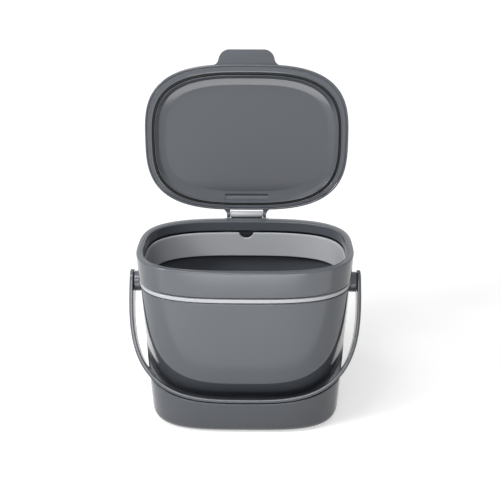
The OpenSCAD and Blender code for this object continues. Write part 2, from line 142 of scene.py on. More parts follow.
# The tool that cuts the finger notch: (distance behind the sleeve's outside, extra radius).
NOTCH_TOOL = ((-3.5, 1.2), (-SLEEVE_WALL, 0.35), (0.5 - SLEEVE_WALL, 0.0), (2.5, 0.0))

# Lid shell: (rise, inward) at the seal groove's edge, the slight hollow of the underside, (inset, rise) of
# the line round the flange, the lower edge and side wall, and the hollow that the liner hides.
GROOVE_OVER_SEAL = 0.1
GROOVE_LIP = 0.5
GROOVE_EDGE = ((0.5, 0.0), (0.12, -0.12), (0.0, -GROOVE_LIP))
FLANGE_SHARES, FLANGE_HOLLOW, FLANGE_SHIFT = (0.12, 0.35, 0.65, 0.95), 0.3, 0.3
FLANGE_OUT = 2.5
FLANGE_LINE = ((FLANGE_OUT, 0.05), (2.3, 0.9), (1.6, 0.9), (1.4, 0.05))
LID_EDGE, LID_EDGE_ANGLE, LID_EDGE_STEPS = 1.1, 80, 6
LID_SIDE_LOW, LID_SIDE_HIGH, LID_SIDE_STEPS = 2.0, 4.4, 3
DOME_STEPS = 36
HOLLOW_DROP, HOLLOW_TOP_INSET = 2.4, 50.0
HOLLOW_OVER_SEAL, HOLLOW_FOOT_INSET = 5.0, 16.0
TAB_SOFT, TAB_FLARE_STEPS, TAB_ROUND_STEPS = 1.0, 10, 16
# The tab's root: how far it spreads past the flare, and how far it and the flare reach inside the rim.
TAB_ROOT_SPREAD, TAB_ROOT_INSIDE, TAB_FLARE_INSIDE = 2.0, 4.0, 1.0
# How far the hinge's pieces start inside the rim.
HINGE_ROOT = 4.0
# Ears: the gap below them, where their flare starts inside the rim and ends before the hinge's axis, then
# the neck, the shoulder and the round end (angles in degrees) of their outline.
EAR_LOW_GAP, EAR_INSET, EAR_FLARE_END = 0.1, 0.5, 1.0
EAR_NECK, EAR_SHOULDER, EAR_FLARE_POWER = 2.6, 1.5, 1.5
EAR_ARC_FROM, EAR_ARC_TO, EAR_ARC_POINTS = -150, 90, 25

# Liner: its gap and edge, for which the source has 0.1 and 1.2, (rise, inward) round its lip, and its wall,
# slope, crowned panel, pocket and mould mark.
LINER_GAP, LINER_EDGE = 0.5, 0.7
LINER_BACK_RISE, LINER_BACK_INWARD, LINER_SIDE_RISE = 1.6, (12.0, 1.0), 4.5
LINER_LIP = ((0.5, 0.0), (0.1, 0.15), (0.0, 0.3), (0.0, LINER_EDGE - 0.3), (0.12, LINER_EDGE - 0.1),
             (0.5, LINER_EDGE + 0.1))
LINER_WALL_FROM, LINER_WALL_INWARD = 0.9, 0.2
LINER_WALL_RUN, LINER_WALL_RISE, LINER_WALL_STEPS = 2.6, 3.4, 5
LINER_SLOPE_RUN, LINER_SLOPE_EASE, LINER_SLOPE_FROM, LINER_SLOPE_STEPS = 6.2, 0.25, 0.06, 9
PANEL_CROWN, PANEL_ROUNDER, PANEL_FIRST, PANEL_FROM, PANEL_STEPS = 0.2, 0.9, 0.012, 0.08, 12
PANEL_LEAST_X, PANEL_LEAST_Y = 0.6, 0.45
POCKET_X, POCKET_FRONT, POCKET_BACK, POCKET_LIP = 20.5, 53.2, 57.4, 59.2
POCKET_FRONT_DEPTH, POCKET_BACK_DEPTH, POCKET_LIP_RISE, POCKET_BEYOND = -0.1, 1.2, 2.2, 0.5
GATE_R, GATE_POINTS, GATE_PLACE, GATE_SOFT = 1.0, 32, (0.8, 0.4), 0.08
GATE_OUT, GATE_SUNK = 0.4, 0.3

# Seal: its section's middle, its reach up into the groove and down, and the clearance at its sides.
SEAL_MIDDLE, SEAL_UP, SEAL_DOWN, SEAL_CLEAR, SEAL_POINTS = 1.7, 1.2, 0.75, 0.04, 16

# Bail: softness of the strip's edges, how finely it is drawn, and the recess that the pin's head sits in.
STRIP_SOFT, STRIP_SOFT_SHARE = 0.6, 0.9
STRIP_CORNERS = ((1, 1, 0), (-1, 1, 90), (-1, -1, 180), (1, -1, 270))
STRIP_CORNER_STEPS = 5
BAIL_SAMPLES, BAIL_STEPS, EYE_STEPS = 4001, 161, 17
EYE_LEAST_SQUARE = 0.15
EYE_RECESS_R, EYE_RECESS_DEPTH, EYE_TOOL_LENGTH = 6.3, 1.6, 3.0

# Pivot pins: (distance along the pin, radius) at the tip, and from the head's underside.
PIN_START, PIN_SUNK, PIN_HEAD_T = 91.0, 0.1, 1.2
PIN_TIP = ((0.0, 3.6), (0.4, 3.95))
PIN_HEAD = ((0.0, 3.95), (0.0, 5.7), (0.2, 6.0), (0.8, 6.0), (1.1, 5.8), (PIN_HEAD_T, 5.4), (PIN_HEAD_T, 2.0),
            (1.0, 1.6))

# Barrel: smaller than the source's by BARREL_LESS, with (distance from the end, less radius) at its edges.
BARREL_LESS, BARREL_BORE = 0.25, 1.55
BARREL_EDGE = ((0.0, 0.5), (0.15, 0.15), (0.5, 0.0))

# Hinge seat and the saddle behind the barrel. The seat lies lower than the source's.
SEAT_DROP, SEAT_BEHIND, SEAT_DEPTH, SEAT_UNDERCUT, SEAT_CHAMFER = 1.6, 1.1, 12.0, 4.5, 0.8
SEAT_HALF, SEAT_FLARE, SEAT_TAPER = 21.5, 3.0, 1.0
# Where the seat's sections lie along its half width: (from, to, count), closer together at the ends.
SEAT_SPREAD = ((-1, -0.9, 5), (-0.8, 0.8, 9), (0.9, 1, 5))
SADDLE_SHORT, SADDLE_FRONT, SADDLE_SUNK, SADDLE_OVER, SADDLE_CHAMFER = 0.4, 0.6, 1.0, 2.4, 0.6
SADDLE_CLEAR, SADDLE_TOOL_HALF = 0.05, 20.0

# Moulded plastic: a very fine grain that only breaks up the highlights. The depth is in metres.
GRAIN_SCALE, GRAIN_DETAIL, GRAIN_STRENGTH, GRAIN_DEPTH = 900.0, 3, 0.15, 0.0001

# Floor and world. Levels are shares of white. The floor's size and the distances between which its glow
# changes are in metres. The world is dimmed where the size of the direction's X is over SIDE_FROM.
FLOOR_SIZE = 12
FLOOR_WHITE, FLOOR_BOUNCE = 0.8, 0.35
GLOW_NEAR, GLOW_FAR = 0.5, 0.8
GLOW_FROM, GLOW_TO = 0.35, 1.5
WORLD_LIGHT, SIDE_LIGHT = 0.5, 0.06
SIDE_FROM, SIDE_TO = 0.4, 0.75
WHITE = (1, 1, 1, 1)

# Socket numbers of Blender's Mix node, whose sockets share their names between its data types.
MIX_FLOAT_A, MIX_FLOAT_B, MIX_COLOR_A, MIX_COLOR_B, MIX_COLOR_OUT = 2, 3, 6, 7, 2

# Each lamp's name, place, aim, width, height (all in metres) and power in watts.
OBJECT_MIDDLE = (0, 0, 0.1)
LAMPS = (
    ("key", (-1.0, -0.5, 0.9), OBJECT_MIDDLE, 0.4, 0.4, 9),
    ("top", (-0.35, -0.35, 1.2), OBJECT_MIDDLE, 0.5, 0.5, 5),
    ("front", (-0.1, -1.1, 0.85), OBJECT_MIDDLE, 0.5, 0.3, 2.6),
    ("floor_card", (-0.03, -0.54, 0.004), (-0.03, -0.54, 1), 0.5, 0.4, 2.4),
    ("near_card", (-0.03, -0.25, 0.004), (-0.03, -0.25, 1), 0.9, 0.18, 0.42),
)

# The photograph's camera: its place, its angles in degrees, and its focal length and frame in pixels.
CAMERA_PLACE = (13.5, -733.1, 432.9)
CAMERA_PITCH, CAMERA_YAW = 68.75, 0.73
FOCAL_PX, FRAME_PX = 896.1, 500
SENSOR = 36.0


# ---------------------------------------------------------------- outlines and meshes


def outline(half_x, half_y, square):
    """Points evenly spaced round a superellipse, anticlockwise from +X."""
    t = np.linspace(0, 2 * np.pi, OUTLINE_SAMPLES)
    c, s = np.cos(t), np.sin(t)
    x = half_x * np.sign(c) * np.abs(c) ** (2 / square)
    y = half_y * np.sign(s) * np.abs(s) ** (2 / square)
    length = np.concatenate([[0], np.cumsum(np.hypot(np.diff(x), np.diff(y)))])
    at = np.linspace(0, length[-1], RING_POINTS, endpoint=False)
    return np.stack([np.interp(at, length, x), np.interp(at, length, y)], 1)


def ring(half_x, half_y, square, z, forward=0.0):
    """An outline laid flat at height z and moved forward, towards -Y."""
    xy = outline(half_x, half_y, square)
    return np.column_stack([xy[:, 0], xy[:, 1] - forward, np.full(RING_POINTS, z)])


def env_size(z):
    """Half width, half depth and squareness of the tapered outline at height z."""
    share = z / RIM_Z
    return (
        BASE_X + (RIM_X - BASE_X) * share,
        BASE_Y + (RIM_Y - BASE_Y) * share,
        BASE_N + (RIM_N - BASE_N) * share,
    )


def env_ring(z, inset):
    half_x, half_y, square = env_size(z)
    return ring(half_x - inset, half_y - inset, square, z)


def mouth_ring(z, grow):
    return ring(MOUTH_X + grow, MOUTH_Y + grow, MOUTH_N, z, MOUTH_FORWARD)


def sleeve_ring(z, inset):
    return ring(SLEEVE_X - inset, SLEEVE_Y - inset, SLEEVE_N, z, MOUTH_FORWARD)


def lid_ring(z, inset):
    return ring(RIM_X - inset, RIM_Y - inset, RIM_N, z)


def groove_ring(z, inward):
    """An outline inward of the seal groove's outer edge, which sits a little towards the hinge."""
    return ring(RIM_X - GROOVE_SIDE - inward, RIM_Y - GROOVE_ENDS - inward, RIM_N, z, -GROOVE_BACK)


def arc(radius, start, end, steps):
    """Points along an arc round the origin, angles in degrees."""
    points = []
    for i in range(steps + 1):
        angle = math.radians(start + (end - start) * i / steps)
        points.append((radius * math.cos(angle), radius * math.sin(angle)))
    return points


def blend(one, two, share):
    return one * (1 - share) + two * share


def lid_place(points):
    """From the closed lid to where the lid stands open."""
    c, s = math.cos(-LID_ANGLE), math.sin(-LID_ANGLE)
    y = points[:, 1] - HINGE_Y
    z = points[:, 2] - HINGE_Z
    return np.column_stack([points[:, 0], HINGE_Y + y * c - z * s, HINGE_Z + y * s + z * c])


def bail_place(points):
    """From the bail's plane (x across, reach, out of the plane) to the object's frame."""
    x, reach, out = points[:, 0], points[:, 1], points[:, 2]
    y = -math.sin(TILT) * reach - math.cos(TILT) * out
    z = PIVOT_Z - math.cos(TILT) * reach + math.sin(TILT) * out
    return np.column_stack([x, y, z])


def make_mesh(name, points, faces, place=None):
    """An object from points in millimetres, with its normals outwards and smooth faces."""
    points = np.asarray(points, float)
    if place is not None:
        points = place(points)
    mesh = bpy.data.meshes.new(name)
    mesh.from_pydata((points * MM).tolist(), [], [list(map(int, f)) for f in faces])
    mesh.update()
    mesh.validate()
    work = bmesh.new()
    work.from_mesh(mesh)
    bmesh.ops.recalc_face_normals(work, faces=work.faces)
    work.to_mesh(mesh)
    work.free()
    mesh.polygons.foreach_set("use_smooth", [True] * len(mesh.polygons))
    obj = bpy.data.objects.new(name, mesh)
    bpy.context.scene.collection.objects.link(obj)
    return obj


def prism_faces(count):
    """Sides and both ends of a prism whose points are listed end by end."""
    faces = [(i, (i + 1) % count, count + (i + 1) % count, count + i) for i in range(count)]
    faces += [tuple(range(count))[::-1], tuple(range(count, 2 * count))]
    return faces


def sweep(name, rings, closed=False, place=None):
    """A skin through rings of points, joined into a loop of rings or capped at both ends."""
    rows, count = len(rings), len(rings[0])
    faces = []
    for row in range(rows if closed else rows - 1):
        a, b = row * count, ((row + 1) % rows) * count
        for i in range(count):
            j = (i + 1) % count
            faces.append((a + i, a + j, b + j, b + i))
    if not closed:
        faces.append(tuple(range(count))[::-1])
        faces.append(tuple(range((rows - 1) * count, rows * count)))
    return make_mesh(name, np.vstack(rings), faces, place)


def lathe(name, profile, origin, side=1):
    """A turned piece along X: profile holds (distance along X, radius)."""
    t = np.linspace(0, 2 * np.pi, TURN_POINTS, endpoint=False)
    rings = []
    for along, radius in profile:
        x = np.full(TURN_POINTS, origin[0] + side * along)
        y = origin[1] + side * radius * np.cos(t)
        z = origin[2] + radius * np.sin(t)
        rings.append(np.column_stack([x, y, z]))
    return sweep(name, rings)


def apply_modifier(obj, modifier):
    bpy.context.view_layer.update()
    with bpy.context.temp_override(object=obj, active_object=obj):
        bpy.ops.object.modifier_apply(modifier=modifier.name)


def plate(name, xy, low, high, soft):
    """A flat plate on the lid, of constant thickness, with softened edges."""
    points = np.vstack([np.column_stack([xy, np.full(len(xy), z)]) for z in (low, high)])
    obj = make_mesh(name, points, prism_faces(len(xy)), lid_place)
    change = obj.modifiers.new("soft", "BEVEL")
    change.width = soft * MM
    change.segments = SOFT_SEGMENTS
    change.limit_method = "ANGLE"
    change.angle_limit = math.radians(SOFT_FROM_ANGLE)
    apply_modifier(obj, change)
    smooth_by_angle(obj, degrees=40)
    return obj


def cut_with(obj, tool):
    """Takes the tool's volume out of a piece and drops the tool."""
    change = obj.modifiers.new("cut", "BOOLEAN")
    change.operation = "DIFFERENCE"
    change.solver = "EXACT"
    change.object = tool
    bpy.context.view_layer.objects.active = obj
    apply_modifier(obj, change)
    bpy.data.objects.remove(tool)


def smooth_by_angle(obj, degrees):
    """Smooth faces, with the edges sharper than this angle left crisp."""
    mesh = obj.data
    mesh.polygons.foreach_set("use_smooth", [True] * len(mesh.polygons))
    mesh.set_sharp_from_angle(angle=math.radians(degrees))


# ---------------------------------------------------------------- bucket as one smooth solid


def superellipse_depth(x, y, half_x, half_y, square):
    """Nearly the distance outside (+) or inside (-) a superellipse."""
    u = np.abs(x) / half_x
    v = np.abs(y) / half_y
    r = (u**square + v**square) ** (1 / square) + NEARLY_ZERO
    slope_x = u ** (square - 1) / half_x * r ** (1 - square)
    slope_y = v ** (square - 1) / half_y * r ** (1 - square)
    return (r - 1) / np.sqrt(slope_x * slope_x + slope_y * slope_y + SMALLER_STILL)


def smooth_max(p, q, radius):
    """The larger of two distances, with the edge between them rounded to about the radius."""
    near = np.maximum(radius - np.abs(p - q), 0.0) / radius
    return np.maximum(p, q) + near * near * radius / 4


def smooth_min(p, q, radius):
    return -smooth_max(-p, -q, radius)


def round_max(p, q, radius):
    """The larger of two distances, with a true arc of this radius where both are near the surface."""
    u = np.maximum(p + radius, 0)
    v = np.maximum(q + radius, 0)
    return np.minimum(np.maximum(p, q), -radius) + np.sqrt(u * u + v * v)


def belly_depth(x, reach, out):
    """Distance to the belly, whose outline changes from the recess's back to the crease."""
    share = (out + LEDGE_BACK) / (CREASE_OUT + LEDGE_BACK)
    rows = zip(BELLY_BACK, BELLY_CREASE)
    half_x, length, taper, square = [back + (crease - back) * share for back, crease in rows]
    square = np.clip(square, BELLY_N_LOW, BELLY_N_HIGH)
    depth = superellipse_depth(x, np.maximum(reach, 0), half_x - taper * reach, length, square)
    return depth * BELLY_SHARE


def hub_depth(x, y, z):
    """Distance to the two pivot hubs, which stand out of the walls."""
    hub = np.sqrt(y * y + (z - PIVOT_Z) ** 2) - HUB_R
    hub = round_max(hub, np.abs(x) - HUB_REACH, HUB_ROUND)
    hub = np.maximum(hub, HUB_START - np.abs(x))
    return np.maximum(hub, np.minimum(z - BUCKET_TOP + HUB_TOP_DROP, HUB_CLEAR - np.abs(x)))


def bucket_depth(points):
    """Distance outside (+) or inside (-) the bucket: tapered body, recess for the bail, belly and hubs."""
    x, y, z = points[:, 0], points[:, 1], points[:, 2]
    reach = -math.sin(TILT) * y + math.cos(TILT) * (PIVOT_Z - z)
    out = -math.cos(TILT) * y - math.sin(TILT) * (PIVOT_Z - z)
    body = superellipse_depth(x, y, *env_size(z))
    behind = out + LEDGE_BACK
    beyond = -superellipse_depth(x, np.maximum(reach, 0), BAIL_X + FOOT_GAP, BAIL_REACH + FOOT_GAP, BAIL_N)
    recess = smooth_min(behind, beyond, LEDGE_FILLET)
    front = smooth_min(recess, belly_depth(x, reach, out), BELLY_FILLET)
    outer = round_max(body, -z, BASE_ROUND)
    outer = smooth_max(outer, front, CREASE_ROUND)
    outer = round_max(outer, z - BUCKET_TOP, EDGE_ROUND)
    outer = smooth_min(outer, hub_depth(x, y, z), HUB_FILLET)
    inner = round_max(body + WALL, FLOOR - z, FLOOR_ROUND)
    inner = smooth_max(inner, front + WALL, INNER_ROUND)
    return round_max(outer, -inner, EDGE_ROUND)


def slope(field, points):
    """The field's slope at each point, by small steps along the axes."""
    result = np.zeros_like(points)
    for k in range(3):
        shift = np.zeros(3)
        shift[k] = SLOPE_STEP
        result[:, k] = (field(points + shift) - field(points - shift)) / (2 * SLOPE_STEP)
    return result


def sample(field, axes):
    """The field on a grid, one layer of constant height at a time."""
    value = np.empty(tuple(len(a) for a in axes), np.float32)
    gx, gy = np.meshgrid(axes[0], axes[1], indexing="ij")
    for k, z in enumerate(axes[2]):
        layer = np.column_stack([gx.ravel(), gy.ravel(), np.full(gx.size, z)])
        value[:, :, k] = field(layer).reshape(gx.shape)
    return value


def crossing_points(value, cells, corners):
    """In each cell, the mean of the places where its edges cross the surface, in grid steps."""
    edges = []
    for p in corners:
        for q in corners:
            apart = np.subtract(q, p)
            if apart.min() == 0 and apart.sum() == 1:
                edges.append((p, q))
    points = np.zeros((len(cells), 3))
    hits = np.zeros(len(cells))
    ci, cj, ck = cells.T
    for p, q in edges:
        vp = value[ci + p[0], cj + p[1], ck + p[2]].astype(float)
        vq = value[ci + q[0], cj + q[1], ck + q[2]].astype(float)
        cross = (vp < 0) != (vq < 0)
        t = np.where(cross, vp / np.where(vp == vq, 1, vp - vq), 0)
        for k in range(3):
            points[:, k] += np.where(cross, p[k] + t * (q[k] - p[k]), 0)
        hits += cross
    return cells + points / hits[:, None]


def crossing_faces(inside, index, axis):
    """A face for each grid edge along the axis that crosses the surface, through its four cells."""
    a, b = [k for k in range(3) if k != axis]
    if axis == 1:
        a, b = b, a
    low = [slice(1, s - 1) for s in inside.shape]
    low[axis] = slice(0, inside.shape[axis] - 1)
    high = list(low)
    high[axis] = slice(1, inside.shape[axis])
    one, two = inside[tuple(low)], inside[tuple(high)]
    cell = np.argwhere(one != two) + np.array([s.start for s in low])
    flip = one[one != two]
    around = []
    for da, db in ((1, 1), (0, 1), (0, 0), (1, 0)):
        c = cell.copy()
        c[:, a] -= da
        c[:, b] -= db
        around.append(index[c[:, 0], c[:, 1], c[:, 2]])
    quads = np.stack(around, 1)
    quads[~flip] = quads[~flip][:, ::-1]
    return quads


def solid_skin(name, field, low, high, step):
    """A mesh on the zero surface of a field, with its true normals."""
    axes = [np.arange(low[k], high[k] + step, step) for k in range(3)]
    value = sample(field, axes)
    inside = value < 0
    corners = [(i, j, k) for i in (0, 1) for j in (0, 1) for k in (0, 1)]
    nx, ny, nz = (s - 1 for s in inside.shape)
    total = np.zeros((nx, ny, nz), np.uint8)
    for i, j, k in corners:
        total += inside[i : i + nx, j : j + ny, k : k + nz]
    mixed = (total > 0) & (total < len(corners))
    cells = np.argwhere(mixed)
    index = np.full((nx, ny, nz), -1, np.int64)
    index[mixed] = np.arange(len(cells))
    points = crossing_points(value, cells, corners) * step + np.array(low)
    most = step / 2
    for _ in range(SETTLE_ROUNDS):
        g = slope(field, points)
        move = field(points) / np.maximum((g * g).sum(1), LEAST_SLOPE)
        points -= np.clip(move, -most, most)[:, None] * g
    faces = np.vstack([crossing_faces(inside, index, axis) for axis in range(3)])
    normals = slope(field, points)
    normals /= np.linalg.norm(normals, axis=1)[:, None] + SMALLER_STILL
    obj = make_mesh(name, points, faces)
    if len(obj.data.vertices) == len(normals):
        obj.data.normals_split_custom_set_from_vertices(normals.tolist())
    return obj


# ---------------------------------------------------------------- collar, ring and hinge


def build_collar():
    """Foot, outer wall, rounded rim with its fine line, mouth, lip and inner wall."""
    skin = SKIN_INSET / 2
    rings = [env_ring(COLLAR_BOTTOM + rise, inset) for rise, inset in COLLAR_FOOT]
    heights = np.linspace(COLLAR_BOTTOM + COLLAR_FROM, RIM_Z - COLLAR_EDGE - COLLAR_TO, COLLAR_STEPS)
    rings += [env_ring(z, skin) for z in heights]
    for out, rise in arc(COLLAR_EDGE, 0, 90, COLLAR_EDGE_STEPS):
        rings.append(env_ring(RIM_Z - COLLAR_EDGE + rise, COLLAR_EDGE + skin - out))
    outer = env_ring(RIM_Z, COLLAR_EDGE)
    inner = mouth_ring(RIM_Z, MOUTH_EDGE)
    for share, drop in RIM_LINE:
        line = blend(outer, inner, share)
        line[:, 2] = RIM_Z - drop
        rings.append(line)
    for out, rise in arc(MOUTH_EDGE, MOUTH_EDGE_ANGLE, 0, MOUTH_EDGE_STEPS):
        rings.append(mouth_ring(RIM_Z - MOUTH_EDGE + rise, MOUTH_EDGE - out))
    rings += [mouth_ring(z, 0) for z in np.linspace(RIM_Z - LIP_FROM, LIP_BOTTOM + LIP_TO, LIP_STEPS)]
    rings += [mouth_ring(LIP_BOTTOM + rise, grow) for rise, grow in LIP_FOOT]
    rings.append(mouth_ring(RIM_Z - COLLAR_UNDER, LIP_WALL))
    rings.append(env_ring(RIM_Z - COLLAR_UNDER, COLLAR_WALL))
    rings += [env_ring(COLLAR_BOTTOM + rise, inset) for rise, inset in COLLAR_FOOT_INSIDE]
    return sweep("collar_shell", rings[::-1], closed=True)


def build_ring():
    """The band outside, the flange under the collar and the sleeve, less the finger notch."""
    rings = [env_ring(RING_BOTTOM + rise, inset) for rise, inset in BAND_FOOT]
    heights = np.linspace(RING_BOTTOM + BAND_FROM, RING_TOP - BAND_TO, BAND_STEPS)
    rings += [env_ring(z, BAND_INSET) for z in heights]
    rings += [env_ring(RING_TOP - drop, inset) for drop, inset in BAND_TOP]
    rings.append(sleeve_ring(RING_TOP - BAND_TOP_DROP, 0))
    rings += [sleeve_ring(SLEEVE_TOP - drop, inset) for drop, inset in SLEEVE_RIM]
    heights = np.linspace(SLEEVE_TOP - SLEEVE_FROM, SLEEVE_BOTTOM + SLEEVE_TO, SLEEVE_STEPS)
    rings += [sleeve_ring(z, SLEEVE_WALL) for z in heights]
    rings += [sleeve_ring(SLEEVE_BOTTOM + rise, inset) for rise, inset in SLEEVE_FOOT]
    rings.append(sleeve_ring(RING_TOP - BAND_UNDER_DROP, 0))
    rings.append(env_ring(RING_TOP - BAND_UNDER_DROP, WALL))
    rings.append(env_ring(RING_BOTTOM, WALL))
    obj = sweep("bag_ring_shell", rings[::-1], closed=True)
    back = SLEEVE_Y - MOUTH_FORWARD
    t = np.linspace(0, 2 * np.pi, TURN_POINTS, endpoint=False)
    tool_rings = []
    for behind, extra in NOTCH_TOOL:
        radius = NOTCH_R + extra
        y = np.full(TURN_POINTS, back + behind)
        tool_rings.append(np.column_stack([radius * np.cos(t), y, NOTCH_Z + radius * np.sin(t)]))
    cut_with(obj, sweep("tool", tool_rings))
    smooth_by_angle(obj, degrees=40)
    return obj


def build_barrel():
    half = BARREL_L / 2
    radius = BARREL_R - BARREL_LESS
    end = [(half, BARREL_BORE)] + [(half - along, radius - less) for along, less in BARREL_EDGE]
    profile = [(-along, r) for along, r in end] + end[::-1]
    obj = lathe("hinge_barrel_skin", profile, (0, HINGE_Y, HINGE_Z))
    smooth_by_angle(obj, degrees=40)
    return obj


def build_seat():
    """The hinge seat behind the rim, which widens towards the collar."""
    top = HINGE_Z - BARREL_R - SEAT_DROP
    back = HINGE_Y + BARREL_R + SEAT_BEHIND
    wall = RIM_Y - HINGE_ROOT
    foot = top - SEAT_DEPTH
    section = [(wall, foot), (RIM_Y, foot), (back, top - SEAT_UNDERCUT), (back, top - SEAT_CHAMFER),
               (back - SEAT_CHAMFER, top), (wall, top)]
    rows = []
    for share in np.concatenate([np.linspace(*part) for part in SEAT_SPREAD]):
        row = []
        for y, z in section:
            reach = max(0.0, (y - RIM_Y)) / (back - RIM_Y)
            half = SEAT_HALF + SEAT_FLARE * (1 - reach) ** 2 - SEAT_TAPER * reach
            row.append((share * half, y, z))
        rows.append(np.array(row))
    obj = sweep("hinge_seat", rows)
    smooth_by_angle(obj, degrees=30)
    return obj


def build_saddle():
    """The block behind the barrel, hollowed to fit round it."""
    low = HINGE_Z - BARREL_R - SEAT_DROP - SADDLE_SUNK
    top = HINGE_Z - BARREL_R - SEAT_DROP + BARREL_R + SADDLE_OVER
    front = HINGE_Y + SADDLE_FRONT
    back = HINGE_Y + BARREL_R + SEAT_BEHIND
    half = BARREL_L / 2 - SADDLE_SHORT
    section = [(front, low), (back, low), (back, top - SADDLE_CHAMFER), (back - SADDLE_CHAMFER, top),
               (front, top)]
    obj = sweep("hinge_saddle", [np.array([(x, y, z) for y, z in section]) for x in (-half, half)])
    radius = BARREL_R + SADDLE_CLEAR
    profile = [(-SADDLE_TOOL_HALF, radius), (SADDLE_TOOL_HALF, radius)]
    cut_with(obj, lathe("tool", profile, (0, HINGE_Y, HINGE_Z)))
    smooth_by_angle(obj, degrees=30)
    return obj


# ---------------------------------------------------------------- lid, drawn closed and swung open


def dome_profile():
    """Insets and heights of the lid's outside, from the top of its side wall to the middle."""
    side = LID_HEIGHT * DOME_SIDE
    profile = []
    for i in range(DOME_STEPS + 1):
        a = math.radians(90 * i / DOME_STEPS)
        inset = RIM_Y * DOME_RUN * (1 - max(math.cos(a), 0.0) ** (2 / DOME_N))
        rise = side + (LID_HEIGHT - side - SKIN_INSET) * math.sin(a) ** (2 / DOME_N)
        profile.append((inset, LID_BOTTOM + rise))
    return profile


def build_lid_shell():
    """Hollow, seal groove, slightly hollow underside, flange line, side wall and dome."""
    hollow_foot = LID_BOTTOM + SEAL_H + HOLLOW_OVER_SEAL
    groove_top = LID_BOTTOM + SEAL_H + GROOVE_OVER_SEAL
    rings = [lid_ring(LID_BOTTOM + LID_HEIGHT - HOLLOW_DROP, HOLLOW_TOP_INSET)]
    rings.append(lid_ring(hollow_foot, HOLLOW_FOOT_INSET))
    rings += [groove_ring(groove_top, SEAL_W), groove_ring(groove_top, 0)]
    rings += [groove_ring(LID_BOTTOM + rise, inward) for rise, inward in GROOVE_EDGE]
    for share in FLANGE_SHARES:
        line = blend(groove_ring(LID_BOTTOM, -GROOVE_LIP), lid_ring(LID_BOTTOM, FLANGE_OUT), share)
        line[:, 2] = LID_BOTTOM + FLANGE_HOLLOW * math.sin(math.pi * min(1.0, FLANGE_SHIFT + share))
        rings.append(line)
    rings += [lid_ring(LID_BOTTOM + rise, inset) for inset, rise in FLANGE_LINE]
    for out, rise in arc(LID_EDGE, LID_EDGE_ANGLE, 0, LID_EDGE_STEPS):
        rings.append(lid_ring(LID_BOTTOM + LID_EDGE - rise, LID_EDGE - out))
    heights = np.linspace(LID_BOTTOM + LID_SIDE_LOW, LID_BOTTOM + LID_SIDE_HIGH, LID_SIDE_STEPS)
    rings += [lid_ring(z, 0) for z in heights]
    rings += [lid_ring(z, inset) for inset, z in dome_profile()]
    return sweep("lid_shell_skin", rings, place=lid_place)


def tab_outline():
    """The lifting tab from above: flared roots inside the lid's edge and rounded front corners."""
    half = TAB_WIDTH / 2
    front = -RIM_Y - TAB_LENGTH
    root = half + TAB_FLARE + TAB_ROOT_SPREAD
    right = [(root, -RIM_Y + TAB_ROOT_INSIDE), (root, -RIM_Y + TAB_FLARE_INSIDE)]
    for u, v in arc(TAB_FLARE, 90, 180, TAB_FLARE_STEPS):
        right.append((half + TAB_FLARE + u, -RIM_Y - TAB_FLARE + TAB_FLARE_INSIDE + v))
    for u, v in arc(TAB_ROUND, 0, -90, TAB_ROUND_STEPS):
        right.append((half - TAB_ROUND + u, front + TAB_ROUND + v))
    left = [(-x, y) for x, y in right[::-1]]
    return np.array(right + left)[::-1]


def build_tab():
    low = LID_BOTTOM + TAB_SET_BACK
    return plate("lid_tab", tab_outline(), low, low + TAB_THICK, TAB_SOFT)


def build_ear(side):
    """The ear's side outline, pushed sideways with a flare towards the lid."""
    root = RIM_Y - HINGE_ROOT
    low, top = LID_BOTTOM + EAR_LOW_GAP, HINGE_Z + BARREL_R
    line = [(root, low), (RIM_Y - EAR_INSET, low), (HINGE_Y - EAR_NECK, low)]
    for angle in np.radians(np.linspace(EAR_ARC_FROM, EAR_ARC_TO, EAR_ARC_POINTS)):
        line.append((HINGE_Y + BARREL_R * math.cos(angle), HINGE_Z + BARREL_R * math.sin(angle)))
    line += [(RIM_Y + EAR_SHOULDER, top), (RIM_Y - EAR_INSET, top), (root, top)]
    flare_length = HINGE_Y - EAR_FLARE_END - RIM_Y + EAR_INSET
    points = [(side * EAR_IN, y, z) for y, z in line]
    for y, z in line:
        share = min(1.0, max(0.0, (y - RIM_Y + EAR_INSET) / flare_length))
        x = EAR_IN + (EAR_T + EAR_FLARE * (1 - share) ** EAR_FLARE_POWER)
        points.append((side * x, y, z))
    name = "lid_ear_right" if side > 0 else "lid_ear_left"
    faces = prism_faces(len(line))
    if side < 0:
        faces = [face[::-1] for face in faces]
    obj = make_mesh(name, points, faces, lid_place)
    smooth_by_angle(obj, degrees=30)
    return obj


